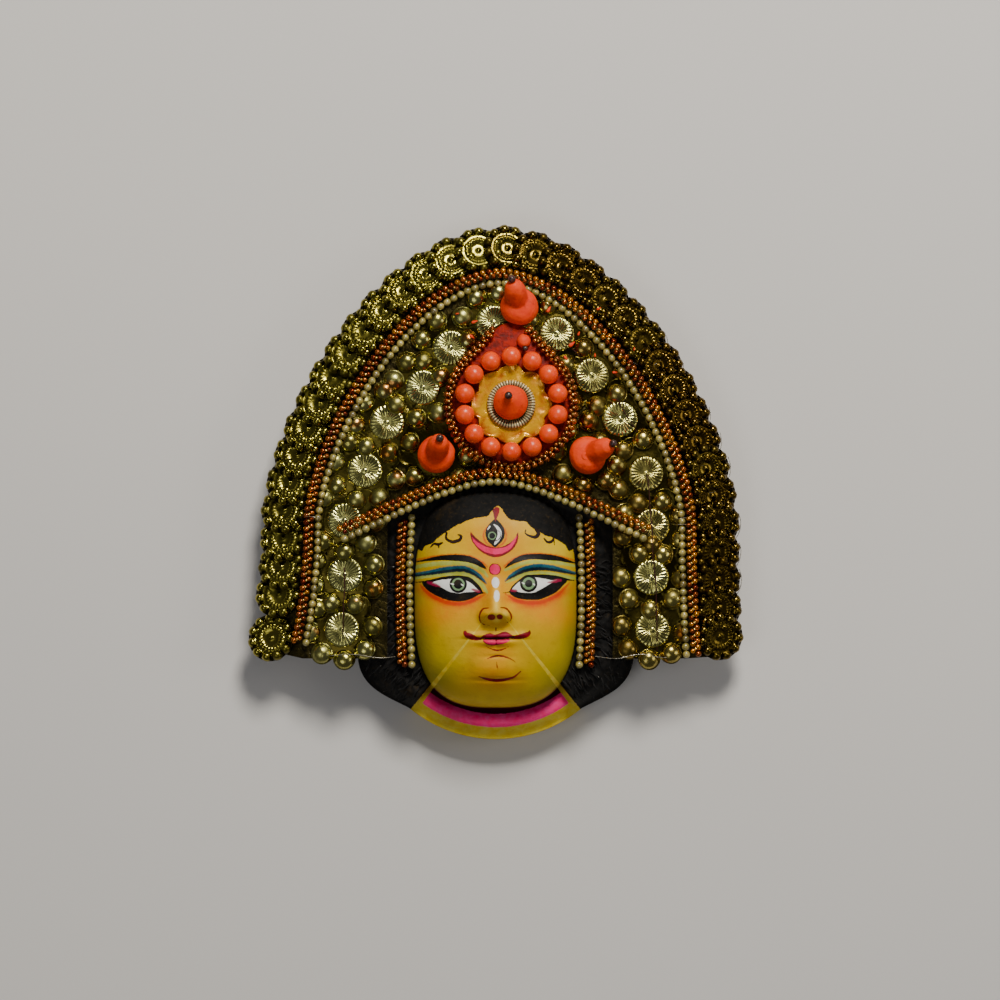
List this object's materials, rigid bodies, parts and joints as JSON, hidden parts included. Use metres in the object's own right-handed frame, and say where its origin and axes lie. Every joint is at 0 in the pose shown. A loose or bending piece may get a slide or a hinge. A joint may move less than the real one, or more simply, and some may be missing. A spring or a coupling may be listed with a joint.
{
  "type": "chhau mask",
  "caption": "Painted three-eyed dance mask face, hollow at the back, under a tall arched crown of stamped foil, bead strings and orange finials.",
  "frame": {"origin": "centre of the bounding box's bottom, on the plane of the shell's back rim", "axes": "+Z out of the face, with the mask lying on its back; +Y towards the top of the crown; +X to the right as one looks at the face"},
  "size_m": [0.2472, 0.257, 0.0595],
  "materials": {
    "ochre_paint": "papier-mache, primed and painted by hand, satin",
    "card": "plain card with a cloth-dark back, matt",
    "gold_foil": "stamped foil, gold to bronze lacquer, bright",
    "olive_foil": "stamped foil, greenish gold lacquer, bright",
    "pearl": "cream pearl lustre",
    "copper": "metallised copper, bright",
    "red_card": "deep orange-red paint, matt",
    "amber": "yellow foil, crumpled",
    "orange_bead": "coral orange, semi-gloss",
    "orange_paint": "orange-red paint, matt",
    "dark_bead": "black glass, gloss"
  },
  "bodies": {
    "root": {"face_mask": "ochre_paint", "crown_board": "card", "disc_band": "gold_foil", "flowers_left": "olive_foil", "flowers_right": "olive_foil", "arch_pearls": "pearl", "arch_copper": "copper", "brow_pearls": "pearl", "brow_copper": "copper", "side_pearls_left": "pearl", "side_pearls_right": "pearl", "side_copper_left": "copper", "side_copper_right": "copper", "medallion_board": "red_card", "medallion_plate": "amber", "fluted_ring": "gold_foil", "medallion_cone": "orange_paint", "medallion_tip": "dark_bead", "medallion_copper": "copper", "medallion_bud": "orange_paint", "bud_tip": "dark_bead", "finial_top": "orange_paint", "finial_left": "orange_paint", "finial_right": "orange_paint", "finial_tip_top": "dark_bead", "finial_tip_left": "dark_bead", "finial_tip_right": "dark_bead", "orange_bead_01": "orange_bead", "orange_bead_02": "orange_bead", "orange_bead_03": "orange_bead", "orange_bead_04": "orange_bead", "orange_bead_05": "orange_bead", "orange_bead_06": "orange_bead", "orange_bead_07": "orange_bead", "orange_bead_08": "orange_bead", "orange_bead_09": "orange_bead", "orange_bead_10": "orange_bead", "orange_bead_11": "orange_bead", "orange_bead_12": "orange_bead", "orange_bead_13": "orange_bead", "orange_bead_14": "orange_bead"}
  },
  "joints": []
}
